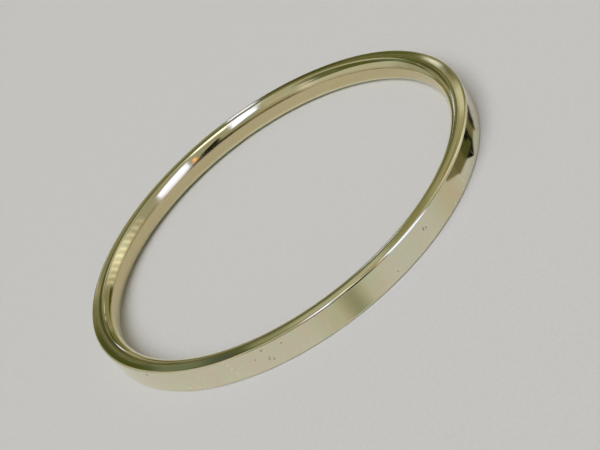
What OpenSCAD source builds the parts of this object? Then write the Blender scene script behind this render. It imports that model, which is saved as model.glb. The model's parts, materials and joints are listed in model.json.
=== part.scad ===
// Plain kada bangle: one closed ring, flat outside, with its inner edges well rounded.
// It lies on its side. The ring's axis is +Z, and the origin is on the surface below its centre.

/* [Ring] */
// Inner diameter, the size that a bangle is sold by
inner_diameter = 62; // [50:0.5:76]
// Height of the band, measured along the wrist
band_height = 4.4; // [4:0.1:10]
// Thickness of the band, measured outwards from the wrist
band_thickness = 3.3; // [2.6:0.1:5]

/* [Edges] */
// Radius of the two inner edges, which slide over the hand
inner_round = 1.8; // [0.4:0.1:1.9]
// Radius of the two outer edges, which are only just broken
outer_round = 0.3; // [0.1:0.05:0.6]

/* [Hidden] */
inner_r = inner_diameter / 2;
// How far a corner's cutter reaches past the corner
overcut = 0.5;
// Facets of the preview
turn_facets = 360;
round_facets = 64;

// What a rounded corner at the origin loses, when the metal lies towards +X and +Y
module corner_waste(radius) {
    difference() {
        translate([-overcut, -overcut]) square(radius + overcut);
        translate([radius, radius]) circle(radius, $fn = round_facets);
    }
}

// The metal in section: X runs outwards from the wrist, Y up through the band's height
module section() {
    difference() {
        square([band_thickness, band_height]);
        corner_waste(inner_round);
        translate([0, band_height]) mirror([0, 1]) corner_waste(inner_round);
        translate([band_thickness, 0]) mirror([1, 0]) corner_waste(outer_round);
        translate([band_thickness, band_height]) rotate(180) corner_waste(outer_round);
    }
}

// The whole bangle is a single bar bent round, joined and polished
module band() {
    color("#b9ae74")
    rotate_extrude($fn = turn_facets)
    translate([inner_r, 0]) section();
}

band();
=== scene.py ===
# %% [markdown]
# Kada bangle in Blender
#
# A kada is the plain closed bangle of South Asia: one bar of metal, bent round, joined, turned
# true and polished. This one is brass under a thin, pale gold plating. Everything that the eye
# gets comes from three things: an exact section, a mirror finish with the small faults of daily
# wear, and the floor and cards that the mirror shows. The cells below make them in that order,
# round a camera that comes first.

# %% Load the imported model
import json
import math

import bpy
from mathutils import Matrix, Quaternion, Vector


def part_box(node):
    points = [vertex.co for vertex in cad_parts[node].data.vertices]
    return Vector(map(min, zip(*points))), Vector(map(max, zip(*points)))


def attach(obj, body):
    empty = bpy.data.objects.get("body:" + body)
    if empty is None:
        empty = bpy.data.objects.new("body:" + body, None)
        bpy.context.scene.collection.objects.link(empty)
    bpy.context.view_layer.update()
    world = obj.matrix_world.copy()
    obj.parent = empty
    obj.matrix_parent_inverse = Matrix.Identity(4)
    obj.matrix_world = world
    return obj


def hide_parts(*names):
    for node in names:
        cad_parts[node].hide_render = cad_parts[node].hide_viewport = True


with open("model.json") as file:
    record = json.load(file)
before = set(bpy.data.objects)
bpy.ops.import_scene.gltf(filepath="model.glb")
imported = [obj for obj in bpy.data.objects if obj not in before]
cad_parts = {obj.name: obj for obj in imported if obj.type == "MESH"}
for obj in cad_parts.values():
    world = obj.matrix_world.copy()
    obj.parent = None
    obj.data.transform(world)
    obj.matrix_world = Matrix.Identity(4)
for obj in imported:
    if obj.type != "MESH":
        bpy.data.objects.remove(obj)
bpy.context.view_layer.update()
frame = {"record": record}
MM = 0.001

# %% [markdown]
# Sizes
#
# A jeweller would take these with calipers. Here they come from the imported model, so the band in
# this scene can't drift from the solid: its box gives the outer radius and the height, and the
# bore gives the inner radius and how much of the inner wall is straight. What the wall lacks of
# the full height is the rounding of its two edges. The outer edges are only just broken, too
# little to be read off the box, so that one size is repeated here.

# %% Take the sizes of the band
low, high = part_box("band")
bore = next(mount for mount in frame["record"]["mounts"] if mount["kind"] == "bore")

outer_radius = min(-low.x, high.x, -low.y, high.y)
height = high.z - low.z
inner_radius = bore["dims"]["r_mm"] * MM
inner_round = (height - bore["dims"]["length_mm"] * MM) / 2
outer_round = 0.3 * MM
thickness = outer_radius - inner_radius
print(f"band {thickness / MM:.2f} mm thick and {height / MM:.2f} mm high")
print(f"{2 * inner_radius / MM:.1f} mm across inside")
print(f"edges rounded by {inner_round / MM:.2f} mm inside and {outer_round / MM:.2f} mm outside")

# %% [markdown]
# Camera
#
# The camera comes early, because a mirror is lit by what the camera sees in it: the cards can
# only be placed once it stands. It looks down on the ring at about 28 degrees, from 19
# centimetres away, and is rolled, so that the ring seems to lean from the lower left to the upper
# right.

# %% Set up the camera
camera_place = Vector((0, -171.0, 92.8)) * MM
camera_aim = Vector((1.16, -8.85, 2.2)) * MM
camera_roll = math.radians(-38.2)
lens_mm = 74.6

camera = bpy.data.objects.new("camera", bpy.data.cameras.new("camera"))
camera.data.lens = lens_mm
camera.data.clip_start = 1 * MM
camera.location = camera_place
camera.rotation_mode = "QUATERNION"
unrolled = (camera_aim - camera_place).to_track_quat("-Z", "Y")
camera.rotation_quaternion = unrolled @ Quaternion((0, 0, 1), camera_roll)
bpy.context.scene.collection.objects.link(camera)
bpy.context.scene.camera = camera
view = Vector((0, 0, height / 2)) - camera_place
print(f"camera {view.length / MM:.0f} mm from the ring's middle")

# %% [markdown]
# Two helpers
#
# Colours are written as the hex values that a paint or web chart gives. Shaders work in linear
# light, so one function turns them round. The other helper adds a node. Its settings are
# attributes of the node. Its inputs are plain values, sockets of other nodes, or whole nodes, of
# which it links the first output in use. Six settings that come up often get short names.


# %% Define the two helpers
def linear(hex_colour):
    """An sRGB hex colour as linear red, green, blue and alpha."""
    shares = [int(hex_colour[i : i + 2], 16) / 255 for i in (1, 3, 5)]
    return [s / 12.92 if s <= 0.04045 else ((s + 0.055) / 1.055) ** 2.4 for s in shares] + [1]


def add_node(tree, kind, settings=None, **inputs):
    """Adds a node. An input's name has _ for a space, or is Input_ and the socket's number."""
    node = tree.nodes.new(kind)
    for name, value in (settings or {}).items():
        setattr(node, name, value)
    for name, value in inputs.items():
        number = name.rpartition("_")[2]
        if number.isdigit():
            socket = node.inputs[int(number)]
        else:
            socket = next(s for s in node.inputs if s.enabled and s.name == name.replace("_", " "))
        if isinstance(value, bpy.types.Node):
            value = next(s for s in value.outputs if s.enabled)
        if isinstance(value, bpy.types.NodeSocket):
            tree.links.new(value, socket)
        else:
            socket.default_value = value
    return node


PLUS = {"operation": "ADD"}
MINUS = {"operation": "SUBTRACT"}
TIMES = {"operation": "MULTIPLY"}
SCALED = {"operation": "SCALE"}
SOFT = {"interpolation_type": "SMOOTHSTEP"}
COLOUR = {"data_type": "RGBA"}
print("the grey #808080 in linear light:", [round(v, 3) for v in linear("#808080")])

# %% [markdown]
# A tree with named sizes
#
# On the real bangle the bar's section is the same all the way round: flat outside and on both
# sides, with the inner edges well rounded for the hand and the outer ones only just broken. It
# could be turned from a tube or bent from a bar. The CAD solid has the right shape, but its
# facets would show in a mirror. One section swept round one circle is a rule, so Geometry Nodes
# can make it again, finer. The tree starts with its inputs, so that every size can be changed by
# name.

# %% Start the tree and name its inputs
sweep = bpy.data.node_groups.new("band_sweep", "GeometryNodeTree")
sweep.interface.new_socket("Geometry", in_out="OUTPUT", socket_type="NodeSocketGeometry")
size_names = ("Outer Radius", "Thickness", "Height", "Inner Round", "Outer Round")
for name in size_names + ("Buffed Width", "Buffed Drop"):
    sweep.interface.new_socket(name, in_out="INPUT", socket_type="NodeSocketFloat")
for name in ("Steps Around", "Cuts Per Side"):
    sweep.interface.new_socket(name, in_out="INPUT", socket_type="NodeSocketInt")
sweep.interface.new_socket("Finish", in_out="INPUT", socket_type="NodeSocketMaterial")
sizes = sweep.nodes.new("NodeGroupInput").outputs
print("inputs of the tree:", ", ".join(socket.name for socket in sizes if socket.name))

# %% [markdown]
# The section, with its four corners rounded
#
# In the tree the section lies flat: X runs outwards from the wrist and Y up through the band. A
# rectangle gets a fillet at each corner, with the small radius where X is positive and the large
# one where it is negative. The fillet keeps true arcs only on a Bezier spline. Each side and each
# arc is then cut into eight, so every flat has a narrow strip next to its corner and shades flat
# right up to it. The last node turns the spline into straight steps from cut to cut.

# %% Round the corners of the section
place = add_node(sweep, "GeometryNodeInputPosition")
across = add_node(sweep, "ShaderNodeSeparateXYZ", Vector=place).outputs
bar = add_node(
    sweep,
    "GeometryNodeCurvePrimitiveQuadrilateral",
    Width=sizes["Thickness"],
    Height=sizes["Height"],
)
is_outer = add_node(
    sweep, "FunctionNodeCompare", {"operation": "GREATER_THAN"}, A=across["X"], B=0.0
)
radius = add_node(
    sweep,
    "GeometryNodeSwitch",
    {"input_type": "FLOAT"},
    Input_0=is_outer,
    Input_1=sizes["Inner Round"],
    Input_2=sizes["Outer Round"],
)
bezier = add_node(sweep, "GeometryNodeCurveSplineType", {"spline_type": "BEZIER"}, Curve=bar)
rounded = add_node(
    sweep, "GeometryNodeFilletCurve", {"mode": "BEZIER"}, Curve=bezier, Radius=radius
)
strips = add_node(
    sweep, "GeometryNodeSubdivideCurve", Curve=rounded, Cuts=sizes["Cuts Per Side"]
)
points = add_node(sweep, "GeometryNodeCurveSplineType", {"spline_type": "POLY"}, Curve=strips)
print("nodes for the section:", len(sweep.nodes))

# %% [markdown]
# What the buffing wheel takes off
#
# A side face of a hand-polished bangle is never quite flat. The soft wheel wraps over the outer
# edge and takes a little more there, a few hundredths of a millimetre. Nobody sees that as a
# shape, but a mirror does: along the outer edge it shows another part of the studio, which is the
# thin line at the rim. A bump in the finish could tilt the mirror as well, but real geometry
# keeps it in every export. Each point of the section moves towards the middle of the bar by the
# square of how far it is into the buffed strip.

# %% Lower the side faces towards the outer edge
buffed_width = 0.7 * MM
buffed_drop = 0.03 * MM
half = add_node(sweep, "ShaderNodeMath", TIMES, Input_0=sizes["Thickness"], Input_1=0.5)
flat_end = add_node(sweep, "ShaderNodeMath", MINUS, Input_0=half, Input_1=sizes["Outer Round"])
start = add_node(sweep, "ShaderNodeMath", MINUS, Input_0=flat_end, Input_1=sizes["Buffed Width"])
share = add_node(
    sweep, "ShaderNodeMapRange", Value=across["X"], From_Min=start, From_Max=flat_end
)
bend = add_node(sweep, "ShaderNodeMath", {"operation": "POWER"}, Input_0=share, Input_1=2.0)
drop = add_node(sweep, "ShaderNodeMath", TIMES, Input_0=bend, Input_1=sizes["Buffed Drop"])
turned = add_node(sweep, "ShaderNodeMath", TIMES, Input_0=across["Y"], Input_1=-1.0)
to_middle = add_node(sweep, "ShaderNodeMath", {"operation": "SIGN"}, Input_0=turned)
shift = add_node(sweep, "ShaderNodeMath", TIMES, Input_0=drop, Input_1=to_middle)
offset = add_node(sweep, "ShaderNodeCombineXYZ", Y=shift)
buffed = add_node(sweep, "GeometryNodeSetPosition", Geometry=points, Offset=offset)
print(f"buffed strip {buffed_width / MM:.2f} mm wide, {buffed_drop / MM:.3f} mm deep at the edge")

# %% [markdown]
# Sweep, lift and finish
#
# The section is swept round a circle through its own middle, as a bar is bent round a mandrel.
# The ring comes out centred on the origin, so it is lifted by half its height to lie on the
# floor. The tree ends in real geometry with its material set, because the export takes nothing
# else.

# %% Sweep the section round the ring
middle = add_node(sweep, "ShaderNodeMath", MINUS, Input_0=sizes["Outer Radius"], Input_1=half)
circle = add_node(
    sweep, "GeometryNodeCurvePrimitiveCircle", Resolution=sizes["Steps Around"], Radius=middle
)
ring = add_node(sweep, "GeometryNodeCurveToMesh", Curve=circle, Profile_Curve=buffed)
lift = add_node(sweep, "ShaderNodeMath", TIMES, Input_0=sizes["Height"], Input_1=0.5)
up = add_node(sweep, "ShaderNodeCombineXYZ", Z=lift)
lying = add_node(sweep, "GeometryNodeTransform", Geometry=ring, Translation=up)
smooth = add_node(sweep, "GeometryNodeSetShadeSmooth", Geometry=lying)
real = add_node(sweep, "GeometryNodeRealizeInstances", Geometry=smooth)
finished = add_node(sweep, "GeometryNodeSetMaterial", Geometry=real, Material=sizes["Finish"])
add_node(sweep, "NodeGroupOutput", Geometry=finished)
print("nodes in the whole tree:", len(sweep.nodes))

# %% [markdown]
# The finish: pale gold plate on polished brass
#
# The real material is yellow brass, turned and ground, polished on a cloth wheel with rouge, and
# then plated in a bath with less than a thousandth of a millimetre of pale, slightly green gold.
# To the eye that is a mirror with a straw colour of its own. It has no paint or lacquer over it,
# so metallic is 1 and the colour is the metal's. Three kinds of place differ: the side faces and
# inner edges keep the full polish, the outer face is a little duller and greyer where sleeves rub
# it, and the inner wall is duller still, with a darker, browner colour that paints shade. The
# finish starts with its shader and with the surface measured in millimetres.

# %% Start the finish and measure the surface
plated_brass = bpy.data.materials.new("plated_brass")
plated_brass.use_nodes = True
finish = plated_brass.node_tree
shader = finish.nodes["Principled BSDF"]
spot = add_node(finish, "ShaderNodeTexCoord").outputs["Object"]
in_mm = add_node(finish, "ShaderNodeVectorMath", SCALED, Vector=spot, Scale=1 / MM)
flat_mm = add_node(finish, "ShaderNodeVectorMath", TIMES, Input_0=in_mm, Input_1=(1, 1, 0))
outwards = add_node(finish, "ShaderNodeVectorMath", {"operation": "NORMALIZE"}, Input_0=flat_mm)
distance_mm = add_node(finish, "ShaderNodeVectorMath", {"operation": "LENGTH"}, Input_0=flat_mm)
level_mm = add_node(finish, "ShaderNodeSeparateXYZ", Vector=in_mm).outputs["Z"]
print(f"marks and waves are laid out in mm, {outer_radius / MM:.1f} mm from the axis at most")

# %% [markdown]
# Where it is outside and where inside
#
# The distance from the ring's axis tells the three kinds of place apart. Two ranges turn it into
# shares from 0 to 1. Each is soft over two or three tenths of a millimetre, because rubbing never
# stops at a line.

# %% Find the outer face and the inner wall
inside_mm = inner_radius / MM
outside_mm = outer_radius / MM
outer_start_mm = outside_mm - 0.22
outer_full_mm = outside_mm - 0.04
inner_start_mm = inside_mm + 0.32
inner_full_mm = inside_mm + 0.04
outer_share = add_node(
    finish,
    "ShaderNodeMapRange",
    SOFT,
    Value=distance_mm,
    From_Min=outer_start_mm,
    From_Max=outer_full_mm,
)
inner_share = add_node(
    finish,
    "ShaderNodeMapRange",
    SOFT,
    Value=distance_mm,
    From_Min=inner_start_mm,
    From_Max=inner_full_mm,
)
print(f"outer face beyond {outer_full_mm:.2f} mm, inner wall within {inner_full_mm:.2f} mm")

# %% [markdown]
# Colour
#
# The plating is thin and its bath is never quite even, so its straw colour drifts between a
# greener and a warmer one in soft patches. A painted picture could hold them, but noise on the
# ring's own coordinates needs no unwrapping and has no seam. On the outer face the patches run up
# and down the band, as the polishing wheel did: one is about 2.5 mm wide and four times as high.
# On the inner wall a darker, browner colour is painted shade.

# %% Mix the colour of the plating
patch_mm = 2.5
patch_height_mm = 4 * patch_mm
stretch = (1 / patch_mm, 1 / patch_mm, 1 / patch_height_mm)
# The noise keeps near its middle, so its values from 0.35 to 0.65 are spread over the whole range
noise_from = 0.35
noise_to = 0.65
patch_place = add_node(finish, "ShaderNodeVectorMath", TIMES, Input_0=in_mm, Input_1=stretch)
patches = add_node(finish, "ShaderNodeTexNoise", Vector=patch_place, Scale=1.0, Detail=3.0)
patch_share = add_node(
    finish, "ShaderNodeMapRange", SOFT, Value=patches, From_Min=noise_from, From_Max=noise_to
)
polished = add_node(
    finish,
    "ShaderNodeMix",
    COLOUR,
    Input_0=patch_share,
    Input_6=linear("#F3EBC2"),
    Input_7=linear("#EFEFC9"),
)
rubbed = add_node(
    finish,
    "ShaderNodeMix",
    COLOUR,
    Input_0=patch_share,
    Input_6=linear("#ECE1C6"),
    Input_7=linear("#E6E6C8"),
)
outer_colour = add_node(
    finish, "ShaderNodeMix", COLOUR, Input_0=outer_share, Input_6=polished, Input_7=rubbed
)
# The inner wall's darker, browner colour, #D8CA9E, is painted shade.
colour = add_node(
    finish,
    "ShaderNodeMix",
    COLOUR,
    Input_0=inner_share,
    Input_6=outer_colour,
    Input_7=linear("#D8CA9E"),
)
print("straw colour in linear light:", [round(v, 2) for v in linear("#F3EBC2")[:3]])

# %% [markdown]
# Hairlines
#
# Wiping and wearing leave hairlines that run round the ring. Real ones are a few hundredths of a
# millimetre apart, too fine for this picture, where a millimetre is seven pixels, so they are
# drawn 0.25 mm apart. Noise that is stretched along the ring gives them. It is laid out on the
# direction from the axis, which has no seam, and across the band on distance plus level, which
# changes on every face.

# %% Lay hairlines round the ring
line_gap_mm = 0.25
line_length_mm = 9
line_turns = outside_mm / line_length_mm
along = add_node(finish, "ShaderNodeVectorMath", SCALED, Input_0=outwards, Scale=line_turns)
girth = add_node(finish, "ShaderNodeMath", PLUS, Input_0=distance_mm, Input_1=level_mm)
spread = add_node(finish, "ShaderNodeMath", TIMES, Input_0=girth, Input_1=1 / line_gap_mm)
sideways = add_node(finish, "ShaderNodeCombineXYZ", Z=spread)
line_place = add_node(finish, "ShaderNodeVectorMath", PLUS, Input_0=along, Input_1=sideways)
hairlines = add_node(finish, "ShaderNodeTexNoise", Vector=line_place, Scale=1.0, Detail=2.0)
print(f"a hairline every {line_gap_mm} mm, about {line_length_mm} mm long")

# %% [markdown]
# Haze
#
# Roughness says how much a mirror blurs what it shows. No polish in wear is perfect, so even the
# side faces have a little. The outer face has nearly twice as much, and the inner wall the most.
# The hairlines make the polish duller and sharper by turns, so the haze never looks sprayed on.

# %% Set how sharp the mirror is
side_haze = 0.07
outer_haze = 0.12
more_inside = 0.1
less_between_lines = -0.02
more_on_lines = 0.04
haze = add_node(
    finish, "ShaderNodeMapRange", Value=outer_share, To_Min=side_haze, To_Max=outer_haze
)
inner_haze = add_node(
    finish, "ShaderNodeMapRange", Value=inner_share, To_Min=0.0, To_Max=more_inside
)
line_haze = add_node(
    finish,
    "ShaderNodeMapRange",
    Value=hairlines,
    To_Min=less_between_lines,
    To_Max=more_on_lines,
)
haze_sum = add_node(finish, "ShaderNodeMath", PLUS, Input_0=haze, Input_1=inner_haze)
polish = add_node(finish, "ShaderNodeMath", PLUS, Input_0=haze_sum, Input_1=line_haze)
print(f"roughness about {side_haze} on the sides and {outer_haze} outside, before the hairlines")

# %% [markdown]
# Waviness
#
# Hand polishing leaves a mirror very slightly wavy, so reflections have trembling edges. The
# waves are about 2 mm long and a few thousandths of a millimetre high. Heights are in millimetres
# from here on, and the bump node at the end takes one unit as a millimetre.

# %% Add the waves of hand polishing
wave_mm = 2.0
wave_height_mm = 0.004
line_height_mm = 0.0012
waves = add_node(finish, "ShaderNodeTexNoise", Vector=in_mm, Scale=1 / wave_mm, Detail=1.0)
waved = add_node(finish, "ShaderNodeMath", TIMES, Input_0=waves, Input_1=wave_height_mm)
scored = add_node(finish, "ShaderNodeMath", TIMES, Input_0=hairlines, Input_1=line_height_mm)
surface = add_node(finish, "ShaderNodeMath", PLUS, Input_0=waved, Input_1=scored)
print(f"waves {wave_mm} mm long and {wave_height_mm} mm high")

# %% [markdown]
# Pinpricks
#
# Knocks against other bangles leave pinpricks all over, mostly outside, and in clusters. Cells of
# a Voronoi texture, 0.8 mm apart, have a tiny spot at their middle. The cells fill space, so only
# those whose middle happens to lie on the surface show, and that gives spots of all sizes. A
# coarse noise keeps them in clusters.

# %% Prick the surface
cell_mm = 0.8
prick_mm = 0.12
cluster_mm = 6.25
# Where the noise is below the first of these there are no pricks, and above the second all of them
cluster_from = 0.47
cluster_to = 0.62
on_the_sides = 0.1
on_the_outside = 0.8
cells = add_node(finish, "ShaderNodeTexVoronoi", Vector=in_mm, Scale=1 / cell_mm)
prick = add_node(
    finish,
    "ShaderNodeMapRange",
    SOFT,
    Value=cells,
    From_Max=prick_mm / cell_mm,
    To_Min=1.0,
    To_Max=0.0,
)
clusters = add_node(
    finish, "ShaderNodeTexNoise", Vector=in_mm, Scale=1 / cluster_mm, Detail=1.0
)
cluster_share = add_node(
    finish,
    "ShaderNodeMapRange",
    SOFT,
    Value=clusters,
    From_Min=cluster_from,
    From_Max=cluster_to,
)
clustered = add_node(finish, "ShaderNodeMath", TIMES, Input_0=prick, Input_1=cluster_share)
rub_share = add_node(
    finish,
    "ShaderNodeMapRange",
    Value=outer_share,
    To_Min=on_the_sides,
    To_Max=on_the_outside,
)
pricks = add_node(finish, "ShaderNodeMath", TIMES, Input_0=clustered, Input_1=rub_share)
print(f"pinpricks up to {2 * prick_mm:.2f} mm across")

# %% [markdown]
# Nicks
#
# The larger marks on the outer face each have a place, a length, a width and a lean. Noise would
# scatter them evenly, which wear never does, so they come from a short list. Fresh nicks are
# bright with a painted glint, and older pits have gone dark with dirt. For each one a Mapping
# node in texture mode moves the surface into the mark's own frame, where the mark is a unit ball:
# X points out of the band, Y along it and Z up. The strongest mark at a place wins.

# %% Place the nicks and pits one by one
nicks = (
    # turn in degrees, level, length and width in mm, lean in degrees, strength
    (237.0, 3.9, 0.6, 0.4, 60, 0.5),
    (237.5, 3.3, 0.8, 0.4, 70, 0.6),
    (237.9, 2.6, 0.8, 0.4, 75, 0.7),
    (238.3, 1.6, 1.0, 0.5, 80, 1.0),
    (238.7, 0.9, 0.6, 0.4, 80, 0.6),
    (240.4, 2.3, 1.1, 0.3, 84, 0.3),
    (236.0, 1.4, 0.6, 0.35, 45, 0.5),
    (246.2, 3.3, 0.5, 0.35, 30, 0.5),
    (229.0, 1.9, 0.8, 0.4, 30, 0.5),
    (228.2, 2.6, 0.9, 0.35, 60, 0.5),
    (226.2, 0.8, 0.6, 0.5, 40, 1.0),
    (225.0, 2.2, 0.5, 0.4, 0, 0.7),
    (223.4, 2.0, 0.6, 0.4, 15, 0.7),
    (223.0, 0.8, 0.6, 0.5, 20, 1.0),
    (231.5, 3.3, 0.6, 0.35, 30, 0.4),
    (233.2, 3.7, 0.7, 0.35, 10, 0.4),
    (220.5, 1.6, 0.4, 0.35, 10, 0.5),
    (262.7, 1.6, 1.7, 0.35, 82, 0.45),
    (258.0, 1.6, 1.3, 0.35, 78, 0.4),
    (255.5, 1.0, 0.7, 0.3, 60, 0.3),
    (311.2, 1.3, 1.2, 0.4, 64, 0.6),
    (309.6, 0.4, 0.6, 0.4, 50, 0.8),
    (304.8, 0.5, 0.9, 0.4, 70, 0.7),
    (318.4, 0.5, 0.9, 0.5, 40, 1.0),
    (314.8, 0.9, 0.6, 0.4, 30, 0.5),
    (300.4, 2.6, 0.8, 0.3, 70, 0.3),
    (276.0, 2.0, 1.0, 0.3, 70, 0.25),
)
pits = (
    # the same columns as the nicks
    (293.4, 2.7, 0.9, 0.35, 68, 0.4),
    (294.2, 2.5, 0.6, 0.3, 72, 0.3),
    (247.4, 1.9, 1.0, 0.4, 50, 0.4),
    (248.2, 1.5, 0.5, 0.35, 20, 0.3),
    (247.0, 3.6, 0.6, 0.4, 30, 0.35),
    (252.0, 3.3, 0.4, 0.35, 20, 0.35),
    (244.3, 2.6, 0.5, 0.35, 60, 0.25),
    (211.6, 3.7, 0.6, 0.55, 0, 0.7),
    (282.5, 1.2, 0.4, 0.3, 30, 0.25),
)
marks = []
for spots in (nicks, pits):
    strongest = pricks if spots is nicks else 0.0
    for turn, level, length, width, lean, strength in spots:
        angle = math.radians(turn)
        own_frame = add_node(
            finish,
            "ShaderNodeMapping",
            {"vector_type": "TEXTURE"},
            Vector=in_mm,
            Location=(outside_mm * math.cos(angle), outside_mm * math.sin(angle), level),
            Rotation=(math.radians(lean), 0, angle),
            Scale=(width, length / 2, width / 2),
        )
        ball = add_node(
            finish, "ShaderNodeVectorMath", {"operation": "LENGTH"}, Input_0=own_frame
        )
        mark = add_node(
            finish, "ShaderNodeMapRange", SOFT, Value=ball, To_Min=strength, To_Max=0.0
        )
        strongest = add_node(
            finish, "ShaderNodeMath", {"operation": "MAXIMUM"}, Input_0=mark, Input_1=strongest
        )
    marks.append(strongest)
bright_marks, dark_marks = marks
print(len(nicks), "nicks and", len(pits), "pits on the outer face")

# %% [markdown]
# What a mark does to the light
#
# A pit holds dirt, so the metal's colour goes dark there. A fresh nick is bare scraped metal,
# rougher than the polish round it, and its near-white colour, which the pinpricks share, is a
# painted glint.

# %% Colour the marks
pitted = add_node(
    finish,
    "ShaderNodeMix",
    COLOUR,
    Input_0=dark_marks,
    Input_6=colour,
    Input_7=linear("#4E4A34"),
)
# The near-white colour of the nicks and pinpricks is a painted glint.
nicks_with_painted_glint = add_node(
    finish,
    "ShaderNodeMix",
    COLOUR,
    Input_0=bright_marks,
    Input_6=pitted,
    Input_7=linear("#FFFCEC"),
)
finish.links.new(nicks_with_painted_glint.outputs[2], shader.inputs["Base Color"])
mark_haze = 0.25
both_marks = add_node(finish, "ShaderNodeMath", PLUS, Input_0=bright_marks, Input_1=dark_marks)
scraped = add_node(finish, "ShaderNodeMath", TIMES, Input_0=both_marks, Input_1=mark_haze)
roughness = add_node(finish, "ShaderNodeMath", PLUS, Input_0=polish, Input_1=scraped)
finish.links.new(roughness.outputs[0], shader.inputs["Roughness"])
shader.inputs["Metallic"].default_value = 1
print("metallic", shader.inputs["Metallic"].default_value, "and the default IOR")

# %% [markdown]
# Bump and tilt
#
# Waves, hairlines and pits are far too shallow to be worth real geometry, but each tilts the
# mirror. A bump node turns the summed heights into that tilt. Its distance is one millimetre, so
# the heights above mean what they say. The real pits are a few hundredths of a millimetre deep,
# finer than a pixel can show, so here they are wider and the strongest is 0.2 mm deep. A nick is
# a small facet: the next bangle of the stack strikes from above and leaves it leaning a little
# upwards, so it mirrors brighter floor, further out, and with its painted glint shows as a pale
# fleck.

# %% Tilt the mirror
pit_depth_mm = 0.3
nick_tilt = 0.2
sunk = add_node(finish, "ShaderNodeMath", TIMES, Input_0=dark_marks, Input_1=pit_depth_mm)
relief = add_node(finish, "ShaderNodeMath", MINUS, Input_0=surface, Input_1=sunk)
bump = add_node(finish, "ShaderNodeBump", Strength=1.0, Distance=MM, Height=relief)
object_to_world = {"vector_type": "VECTOR", "convert_from": "OBJECT", "convert_to": "WORLD"}
ring_axis = add_node(
    finish, "ShaderNodeVectorTransform", object_to_world, Vector=(0, 0, nick_tilt)
)
facet_lift = add_node(
    finish, "ShaderNodeVectorMath", SCALED, Vector=ring_axis, Scale=bright_marks
)
tilted = add_node(finish, "ShaderNodeVectorMath", PLUS, Input_0=bump, Input_1=facet_lift)
facing = add_node(finish, "ShaderNodeVectorMath", {"operation": "NORMALIZE"}, Input_0=tilted)
finish.links.new(facing.outputs[0], shader.inputs["Normal"])
print(f"nicks lean up to {math.degrees(math.atan(nick_tilt)):.0f} degrees")
print("nodes in the finish:", len(finish.nodes))

# %% [markdown]
# The band
#
# The tree is run once and its result kept as a plain mesh, because the frame and the export want
# one. 480 steps put a vertex every 0.45 mm round the outside, which a mirror still shows as a
# clean curve. A modifier's inputs are set by the identifiers of their sockets. The band stands
# for the CAD node, which stays, hidden.

# %% Make the band
steps_around = 480
cuts_per_side = 7
values = {
    "Outer Radius": outer_radius,
    "Thickness": thickness,
    "Height": height,
    "Inner Round": inner_round,
    "Outer Round": outer_round,
    "Buffed Width": buffed_width,
    "Buffed Drop": buffed_drop,
    "Steps Around": steps_around,
    "Cuts Per Side": cuts_per_side,
    "Finish": plated_brass,
}
carrier = bpy.data.objects.new("band_carrier", bpy.data.meshes.new("band_carrier"))
bpy.context.scene.collection.objects.link(carrier)
modifier = carrier.modifiers.new("sweep", "NODES")
modifier.node_group = sweep
for item in sweep.interface.items_tree:
    if item.in_out == "INPUT":
        modifier[item.identifier] = values[item.name]
evaluated = carrier.evaluated_get(bpy.context.evaluated_depsgraph_get())
band_mesh = bpy.data.meshes.new_from_object(evaluated)
band_mesh.name = "polished_band"
bpy.data.objects.remove(carrier)

band = bpy.data.objects.new("polished_band", band_mesh)
bpy.context.scene.collection.objects.link(band)
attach(band, "root")
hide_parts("band")
reach = [vertex.co.xy.length / MM for vertex in band_mesh.vertices]
print(len(band_mesh.polygons), f"faces, from {min(reach):.2f} to {max(reach):.2f} mm from the axis")

# %% [markdown]
# The floor
#
# The ring lies on a sheet of pale, uncoated paper board. It is matt, and its fibres show only as
# a very faint grain, here 0.6 mm, so a mirror that shows it still looks clean.

# %% Lay the floor
floor_size = 4
fibre_mm = 0.6
paper_roughness = 0.9
bpy.ops.mesh.primitive_plane_add(size=floor_size)
floor = bpy.context.object
floor.name = "floor"
board = bpy.data.materials.new("paper_board")
board.use_nodes = True
paper = board.node_tree
paper_shader = paper.nodes["Principled BSDF"]
paper_shader.inputs["Roughness"].default_value = paper_roughness
paper_spot = add_node(paper, "ShaderNodeTexCoord").outputs["Object"]
grain = add_node(
    paper, "ShaderNodeTexNoise", Vector=paper_spot, Scale=1 / (fibre_mm * MM), Detail=3.0
)
paper_tone = add_node(
    paper,
    "ShaderNodeMix",
    COLOUR,
    Input_0=grain,
    Input_6=linear("#D3D5DA"),
    Input_7=linear("#DDDFE4"),
)
paper.links.new(paper_tone.outputs[2], paper_shader.inputs["Base Color"])
floor.data.materials.append(board)
print("floor", floor_size, "m square")

# %% [markdown]
# The studio
#
# A khaki dome closes the studio, a little lighter near the floor, and one large lamp high on the
# left gives the floor its even light and the ring a soft shadow. The lamp itself isn't mirrored,
# because in a mirror this round it would only be one more white spot. Standard view keeps the
# colours as they are written.

# %% Set up the dome and the lamp
low_dome = math.radians(4)
high_dome = math.radians(20)
lamp_points = Vector((0.45, 0.5, -1.0))
lamp_width = math.radians(45)
lamp_strength = 1.75

bpy.context.scene.view_settings.view_transform = "Standard"
world = bpy.data.worlds.new("studio")
bpy.context.scene.world = world
world.use_nodes = True
dome = world.node_tree
around = add_node(dome, "ShaderNodeTexCoord").outputs["Generated"]
upwards = add_node(dome, "ShaderNodeSeparateXYZ", Vector=around).outputs["Z"]
rise = add_node(
    dome,
    "ShaderNodeMapRange",
    SOFT,
    Value=upwards,
    From_Min=math.sin(low_dome),
    From_Max=math.sin(high_dome),
)
dome_tone = add_node(
    dome,
    "ShaderNodeMix",
    COLOUR,
    Input_0=rise,
    Input_6=linear("#9C9B8C"),
    Input_7=linear("#9A9482"),
)
dome.links.new(dome_tone.outputs[2], dome.nodes["Background"].inputs["Color"])

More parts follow.
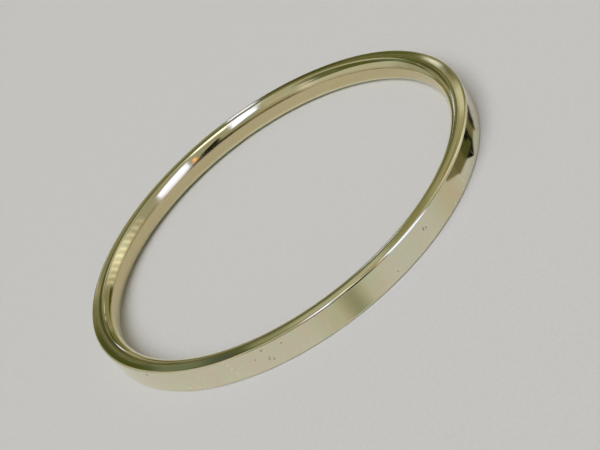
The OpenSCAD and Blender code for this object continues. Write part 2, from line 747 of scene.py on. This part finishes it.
lamp = bpy.data.objects.new("soft_key", bpy.data.lights.new("soft_key", "SUN"))
lamp.data.angle = lamp_width
lamp.data.energy = lamp_strength
lamp.rotation_euler = lamp_points.to_track_quat("-Z", "Y").to_euler()
lamp.visible_glossy = False
bpy.context.scene.collection.objects.link(lamp)
print(f"lamp {math.degrees(lamp_width):.0f} degrees across, strength {lamp_strength}")

# %% [markdown]
# What the ring mirrors
#
# A photographer lights jewellery with cards: white ones for the highlights and dark ones for the
# edges. To put a highlight where it is wanted, the sight line from the camera is followed to that
# spot on the ring and mirrored there. So a spot gets two numbers. Turn goes round the ring in
# degrees. Across goes over the section: 0 to 1 over the flat of the side face, from outside in, 1
# to 2 round the inner edge, 0 to -1 round the outer edge, and -1 to -2 down the outer face.


# %% Follow a sight line and mirror it
def ring_spot(turn, across):
    """A spot on the ring's upper side or outer face, and the direction that it faces."""
    angle = math.radians(turn)
    out = Vector((math.cos(angle), math.sin(angle), 0))
    if across < 0:
        # round the outer edge, and then straight down the outer face
        lean = math.radians(90) * min(-across, 1)
        radius = outer_radius - outer_round + outer_round * math.sin(lean)
        level = height - outer_round + outer_round * math.cos(lean) - buffed_drop
        level -= max(-across - 1, 0) * (height - 2 * outer_round)
    else:
        # over the flat, and then round the inner edge
        lean = -math.radians(90) * max(across - 1, 0)
        flat = thickness - outer_round - inner_round
        radius = outer_radius - outer_round - flat * min(across, 1) + inner_round * math.sin(lean)
        level = height - inner_round * (1 - math.cos(lean))
        # the buffed strip falls off and leans outwards
        worn = max(1 - across * flat / buffed_width, 0)
        level -= buffed_drop * worn**2
        lean += 2 * buffed_drop * worn / buffed_width
    facing = out * math.sin(lean) + Vector((0, 0, math.cos(lean)))
    return out * radius + Vector((0, 0, level)), facing


def mirrored(turn, across):
    """Where a sight line meets the ring, and the direction in which it leaves."""
    spot, facing = ring_spot(turn, across)
    sight = (spot - camera_place).normalized()
    return spot, sight - 2 * sight.dot(facing) * facing


def compass(azimuth, elevation):
    """The ring's middle and a direction: azimuth 0 is away from the camera, 90 is to its right."""
    flat = math.cos(math.radians(elevation))
    east, north = math.sin(math.radians(azimuth)), math.cos(math.radians(azimuth))
    return Vector((0, 0, 0)), Vector((flat * east, flat * north, math.sin(math.radians(elevation))))


highlight_spot = (112, 1.4)
highlight_rise = math.degrees(math.asin(mirrored(*highlight_spot)[1].z))
print(f"the left highlight needs light from {highlight_rise:.0f} degrees up")

# %% [markdown]
# A glowing card
#
# A card is a curved sheet with an even glow, which fades at its edges as a real softbox does. An
# area lamp would be simpler, but it is always flat and has hard edges. The fade mixes the glow
# with a clear shader by how near a point is to the sheet's edge. Cards show in the mirror alone:
# the camera, the floor and the shadows don't see them.

# %% Define a card and its glow
sharpest_fade = 0.001
card_steps = 20


def glow(name, colour, strength, soft):
    """An even glow that fades over the given shares of the card, along it and across it."""
    material = bpy.data.materials.new(name)
    material.use_nodes = True
    tree = material.node_tree
    tree.nodes.clear()
    sheet = add_node(tree, "ShaderNodeUVMap", {"uv_map": "sheet"})
    sides = add_node(tree, "ShaderNodeSeparateXYZ", Vector=sheet).outputs
    cover = 1.0
    for axis, share in zip("XY", soft):
        far = add_node(tree, "ShaderNodeMath", MINUS, Input_0=1.0, Input_1=sides[axis])
        edge = add_node(
            tree, "ShaderNodeMath", {"operation": "MINIMUM"}, Input_0=sides[axis], Input_1=far
        )
        fade_end = max(share, sharpest_fade)
        fade = add_node(tree, "ShaderNodeMapRange", SOFT, Value=edge, From_Max=fade_end)
        cover = add_node(tree, "ShaderNodeMath", TIMES, Input_0=cover, Input_1=fade)
    light = add_node(tree, "ShaderNodeEmission", Color=linear(colour), Strength=strength)
    clear = add_node(tree, "ShaderNodeBsdfTransparent")
    mix = add_node(tree, "ShaderNodeMixShader", Input_0=cover, Input_1=clear, Input_2=light)
    add_node(tree, "ShaderNodeOutputMaterial", Surface=mix)
    return material


def card(name, ray, turns, first, last, colour, strength, soft, away, slant=0):
    """A sheet between two turns, across from first to last, away from where its rays start."""
    row = card_steps + 1
    corners = []
    for i in range(row):
        share = i / card_steps
        turn = turns[0] + (turns[1] - turns[0]) * share
        near_side = first[0] + (last[0] - first[0]) * share
        far_side = first[1] + (last[1] - first[1]) * share
        for j in range(row):
            across = near_side + (far_side - near_side) * j / card_steps
            start, direction = ray(turn + slant * j / card_steps, across)
            corners.append(start + direction * away)
    faces = [
        (i * row + j, (i + 1) * row + j, (i + 1) * row + j + 1, i * row + j + 1)
        for i in range(card_steps)
        for j in range(card_steps)
    ]
    mesh = bpy.data.meshes.new(name)
    mesh.from_pydata(corners, [], faces)
    sheet = mesh.uv_layers.new(name="sheet")
    for loop in mesh.loops:
        i, j = divmod(loop.vertex_index, row)
        sheet.data[loop.index].uv = (i / card_steps, j / card_steps)
    mesh.materials.append(glow(name, colour, strength, soft))
    piece = bpy.data.objects.new(name, mesh)
    piece.visible_camera = False
    piece.visible_diffuse = False
    piece.visible_shadow = False
    bpy.context.scene.collection.objects.link(piece)


print("a card is made from", card_steps**2, "faces")

# %% [markdown]
# Tones on the side face
#
# The flat side face mirrors one small part of the studio, behind the ring and about 28 degrees
# up, as steep as the camera looks down. There hang cards in long soft patches of olive, khaki and
# gold, a third of a metre off. Sight lines that leave a flat mirror never cross, so each card is
# cut to the lines of its own stretch and stops where the flat ends. A card that went on would
# stand before those of the other limb. The first one is the tone between the patches.

# %% Hang the cards for the side face
side_cards = (
    # name, turns, across at the first and at the last of them, colour, strength, soft, mm away
    ("side_tone", (200, 372), (-0.05, 1), (-0.05, 1), "#8E8C72", 1, (0.02, 0.02), 370),
    ("olive_left", (171, 224), (-0.1, 1), (-0.1, 1), "#484C22", 1, (0.15, 0.02), 350),
    ("olive_fade", (150, 184), (-0.05, 1), (-0.05, 1), "#74724F", 1, (0.4, 0.02), 347),
    ("pale_fleck", (195, 207), (0.66, 1), (0.6, 0.96), "#9A9C84", 1, (0.35, 0.4), 344),
    ("grey_green", (211, 236), (-0.1, 1), (-0.1, 1), "#6C7461", 1, (0.3, 0.02), 344),
    ("grey_patch", (225, 240.4), (-0.1, 1), (-0.1, 1), "#4C534E", 1, (0.08, 0.02), 346),
    ("dark_patch", (234.5, 247.5), (-0.1, 1), (-0.1, 1), "#4A4F30", 1, (0.5, 0.02), 349),
    ("khaki_left", (251, 274), (0.1, 1), (0.1, 1), "#A9AA9A", 1, (0.35, 0.03), 350),
    ("pale_front", (265, 287), (0.1, 1), (0.1, 1), "#B2AFA0", 1, (0.3, 0.03), 353),
    ("brown_front", (284, 302), (0.1, 1), (0.1, 1), "#85815F", 1, (0.35, 0.03), 350),
    ("brown_right", (298, 332), (0.0, 1), (0.0, 1), "#9C9479", 1, (0.1, 0.02), 353),
    ("line_brown", (304, 324), (0.14, 0.34), (0.16, 0.36), "#6A5E42", 1, (0.3, 0.45), 340),
    ("gold_right", (328.5, 347), (0.0, 1), (0.0, 1), "#D0CBBC", 1, (0.25, 0.02), 350),
    ("dusk_right", (344, 368), (0.0, 1), (0.0, 1), "#78725A", 1, (0.2, 0.02), 353),
    ("dusk_spot", (347, 363), (0.0, 1), (0.0, 1), "#54522F", 1, (0.5, 0.1), 350),
    ("bright_spot", (-3, 9), (-0.05, 0.8), (0.25, 1), "#F4F6FA", 1.1, (0.4, 0.3), 325),
    ("bright_core", (0, 7), (0.15, 0.6), (0.4, 0.9), "#F4F6FA", 1.4, (0.5, 0.4), 323),
    ("green_right", (8, 44), (0.05, 1), (0.1, 1), "#53572E", 1, (0.06, 0.02), 330),
    ("green_fade", (34, 62), (0.1, 1), (0.1, 1), "#5E6040", 1, (0.45, 0.02), 332),
    ("back_pale", (70, 166), (-0.05, 1), (-0.05, 1), "#B5AF98", 1, (0.1, 0.02), 340),
    ("back_dark", (66, 162), (0.15, 0.7), (0.15, 0.7), "#716F55", 1, (0.1, 0.4), 331),
    ("back_dark_right", (40, 78), (0.1, 0.9), (0.1, 0.9), "#3F3F1C", 1, (0.15, 0.3), 330),
)
for name, *sheet, away in side_cards:
    card(name, mirrored, *sheet, away * MM)
print(len(side_cards), "cards over the side face")

# %% [markdown]
# Tones on the inner edge
#
# The rounded inner edge turns the sight line through half the studio, so it gathers many cards
# into thin lines that run along the ring, pale, dark and black. They hang about half a metre off,
# behind those of the side face. Where the edge turns downwards again, at the left and right ends,
# a dark line marks the fold between it and the wall below it.

# %% Hang the cards for the inner edge
edge_cards = (
    # name, turns, across at the first and at the last of them, colour, strength, soft, mm away
    ("back_tone", (50, 166), (1, 1.98), (1, 1.98), "#9A9584", 1, (0.1, 0.02), 570),
    ("back_light", (58, 76), (1.1, 1.7), (1.1, 1.7), "#A9A593", 1, (0.3, 0.2), 566),
    ("left_glow", (131, 157), (1, 1.85), (1, 1.85), "#D2CEC2", 1, (0.5, 0.35), 552),
    ("corner_left", (200, 179), (1, 1.5), (1, 1.64), "#6C6A42", 1, (0.25, 0.03), 506),
    ("corner_back", (183, 156), (1, 1.64), (1, 1.8), "#857F60", 1, (0.25, 0.03), 508),
    ("corner_fleck", (178.3, 182), (1, 1.24), (1, 1.24), "#A3A38C", 1, (0.4, 0.4), 500),
    ("corner_line", (175.5, 178), (1, 1.3), (1.02, 1.34), "#4A4A28", 1, (0.4, 0.3), 499),
    ("dark_streak", (179, 157), (1.6, 1.86), (1.54, 1.86), "#454118", 1, (0.12, 0.15), 492),
    ("fold_left", (159, 127), (1.82, 1.93), (1.84, 1.94), "#665E3E", 1, (0.3, 0.4), 492),
    ("black_streak", (90, 99.8), (1.5, 2.0), (1.66, 1.99), "#060302", 1, (0.12, 0.1), 406),
    ("black_right", (77, 91.5), (1.8, 1.97), (1.74, 2.0), "#090402", 1, (0.15, 0.12), 408),
    ("brown_streak", (55, 81), (1.76, 1.88), (1.78, 1.98), "#4A3318", 1, (0.4, 0.2), 410),
    ("brown_gap", (98.2, 104.5), (1.72, 2.0), (1.74, 1.98), "#4A2A12", 1, (0.12, 0.15), 410),
    ("pale_edge", (10, 66), (1.3, 1.84), (1.5, 1.88), "#B4B0A6", 1, (0.25, 0.05), 522),
    ("pale_end", (-16, 16), (1.1, 1.6), (1.24, 1.8), "#97978A", 1, (0.2, 0.05), 524),
    ("fold_right", (46, 0), (1.84, 1.9), (1.62, 1.8), "#5C5A3C", 1, (0.2, 0.3), 512),
    ("fold_end", (3, -18), (1.62, 1.8), (1.2, 1.46), "#625E3E", 1, (0.1, 0.2), 512),
    ("green_edge", (8, 46), (1, 1.3), (1, 1.5), "#53572E", 1, (0.06, 0.03), 480),
    ("green_edge_fade", (36, 62), (1, 1.5), (1, 1.6), "#5E6040", 1, (0.45, 0.06), 482),
    ("green_dark", (21.5, 30.5), (1.05, 1.34), (1.08, 1.36), "#38390F", 1, (0.4, 0.3), 475),
    ("dusk_edge", (342, 368), (1, 1.5), (1, 1.45), "#78725A", 1, (0.2, 0.03), 505),
    ("front_edge_right", (345, 314), (1, 1.46), (1, 1.46), "#625F46", 1, (0.15, 0.03), 520),
    ("front_edge_pale", (317, 288), (1, 1.46), (1, 1.46), "#85815F", 1, (0.15, 0.03), 521),
    ("front_edge_left", (291, 221), (1, 1.5), (1, 1.5), "#4C4C34", 1, (0.15, 0.03), 520),
    ("left_pale", (225, 206), (1.08, 1.6), (1.1, 1.6), "#A1A398", 1, (0.2, 0.05), 518),
    ("left_khaki", (211, 194), (1.1, 1.6), (1.16, 1.6), "#8C8C78", 1, (0.25, 0.05), 519),
    ("olive_edge", (190, 228), (1, 1.16), (1, 1.1), "#484C22", 1, (0.15, 0.1), 510),
)
for name, *sheet, away in edge_cards:
    card(name, mirrored, *sheet, away * MM)
print(len(edge_cards), "cards over the inner edge")

# %% [markdown]
# Two highlights
#
# Large white cards give the ring its two highlights, at the left and at the back, with a pale
# band and an orange strip between them. The light of the two is bluer than white. The straw
# colour of the metal takes that blue away again, so the highlights come out white. The one at the
# back lies over the flat and the edge, so its card comes in two parts, each as far off as its
# neighbours.

# %% Hang the cards for the highlights
highlight_cards = (
    # name, turns, across at the first and at the last of them, colour, strength, soft, mm away
    ("highlight_left", (103.4, 118.8), (1.33, 1.82), (1.42, 1.96), "#CBD0FF", 2.0, (0.05, 0.06), 422),
    ("highlight_back", (74.6, 85.8), (1, 1.5), (1, 1.63), "#CBD0FF", 2.0, (0.08, 0.04), 534),
    ("highlight_flat", (74.6, 85.8), (0.3, 1), (0.3, 1), "#CBD0FF", 2.0, (0.08, 0.04), 322),
    ("bright_band", (84.5, 102.5), (1, 1.38), (1, 1.3), "#F6F4F4", 1.7, (0.2, 0.3), 536),
    ("orange_strip", (100.3, 102.0), (1.5, 1.96), (1.46, 1.94), "#FFB468", 1.7, (0.45, 0.12), 423),
)
for name, *sheet, away in highlight_cards:
    card(name, mirrored, *sheet, away * MM)
print(len(highlight_cards), "cards for the highlights")

# %% [markdown]
# A ladder of light
#
# Ten narrow cards side by side give the inner edge a ladder of light at the left, brightest in
# its middle. Its steps repeat, so a loop hangs them. Each leans a little, because the steps on
# the ring do.

# %% Hang the ladder
ladder_start = 129.5
ladder_away = 540
step_count = 10
step_gap = 3.05
step_width = 2.2
step_across = (1.2, 1.84)
step_soft = (0.5, 0.2)
step_slant = -1.2
brightest_step = 5
brightest = 1.2
dimmer_by = 0.12
for number in range(step_count):
    turn = ladder_start + step_gap * number
    turns = (turn - step_width / 2, turn + step_width / 2)
    strength = brightest - dimmer_by * abs(number - brightest_step)
    light = ("#FFF8E6", strength, step_soft)
    name = f"ladder_{number}"
    card(name, mirrored, turns, step_across, step_across, *light, ladder_away * MM, step_slant)
print(step_count, "steps of the ladder")

# %% [markdown]
# Flags on the floor
#
# The outer face mirrors the floor in front of it, so it is the palest part. A few darker flags lie
# flat on the floor there, up to two centimetres out. They are glowing cards that only the mirror
# sees, and their dark colours paint reflected shade into the face: an olive patch with black
# corners at its right end and a soft shade in the middle. A flag is cut to where the mirrored
# sight lines come down to it. They lie a tenth or two of a millimetre above the floor, and where
# they overlap the higher one shows.


# %% Lay the flags
def on_floor(rest):
    """Follows mirrored sight lines down to a height above the floor."""

    def ray(turn, across):
        spot, direction = mirrored(turn, across)
        return spot + direction * (spot.z - rest) / -direction.z, direction

    return ray


# The flags' dark colours paint reflected shade into the outer face; only the mirror sees them.
flags = (
    # name, turns, across at the first and at the last of them, colour, soft, mm above the floor
    ("flag_shade", (256, 282), (-0.92, -2.0), (-0.92, -2.0), "#B9B7A4", (0.5, 0.0), 0.10),
    ("flag_core", (266, 275.5), (-0.92, -2.0), (-0.92, -2.0), "#96947D", (0.5, 0.0), 0.12),
    ("flag_warm", (294, 316), (-0.92, -2.0), (-0.92, -2.0), "#BFB6A8", (0.5, 0.0), 0.10),
    ("flag_olive", (331.5, 322), (-0.92, -1.5), (-0.92, -1.62), "#6E6742", (0.06, 0.06), 0.14),
    ("flag_green", (324, 316), (-0.92, -1.62), (-0.92, -1.56), "#4A4C26", (0.1, 0.06), 0.15),
    ("flag_brown", (317.5, 311), (-0.92, -1.56), (-0.92, -1.5), "#6A6240", (0.1, 0.06), 0.13),
    ("flag_corner", (312, 306), (-0.92, -1.5), (-0.92, -1.05), "#766E4C", (0.1, 0.06), 0.12),
    ("flag_black", (334.5, 328), (-0.92, -1.1), (-1.2, -1.72), "#060503", (0.05, 0.08), 0.17),
    ("flag_black_top", (333.5, 328.4), (-0.92, -1.2), (-1.05, -1.6), "#060503", (0.1, 0.08), 0.18),
    ("flag_black_block", (324.8, 320.4), (-0.92, -1.26), (-0.92, -1.22), "#060503", (0.1, 0.1), 0.17),
    ("flag_black_bar", (324.3, 322.4), (-1.15, -1.6), (-1.15, -1.6), "#060503", (0.2, 0.05), 0.18),
    ("flag_black_left", (323.8, 320.2), (-1.52, -1.6), (-1.5, -1.88), "#060503", (0.1, 0.1), 0.19),
    ("flag_black_tip", (320.4, 317.4), (-1.5, -1.88), (-1.5, -1.6), "#060503", (0.05, 0.1), 0.19),
)
for name, turns, first, last, colour, soft, above in flags:
    ray = on_floor(above * MM)
    card(name, ray, turns, first, last, colour, strength=1, soft=soft, away=0)
print(len(flags), "flags on the floor")

# %% [markdown]
# The rest of the studio
#
# Seen from another side, the ring mirrors another part of the studio. So the studio goes on all
# round: a low dark card at the back, tall softboxes and darker gaps between them, placed by
# compass, a metre away.

# %% Stand the far cards all round
far_cards = (
    # name, azimuths, elevations, colour, strength, soft
    ("low_back", (-80, 80), (0.7, 4), "#34341E", 1, (0.1, 0.3)),
    ("dark_front", (125, 235), (1, 30), "#302E1C", 1, (0.2, 0.2)),
    ("softbox_left", (-150, -66), (9, 74), "#F4F2FF", 2.4, (0.2, 0.06)),
    ("softbox_right", (100, 120), (10, 55), "#F4F2FF", 1.3, (0.15, 0.15)),
    ("dark_left", (-68, -48), (2, 45), "#3A3A20", 1, (0.25, 0.2)),
    ("dark_right", (62, 94), (2, 40), "#3A3A20", 1, (0.25, 0.2)),
)
far_distance = 1.0
for name, azimuths, elevations, *light in far_cards:
    card("far_" + name, compass, azimuths, elevations, elevations, *light, far_distance)
print(len(far_cards), "cards all round")
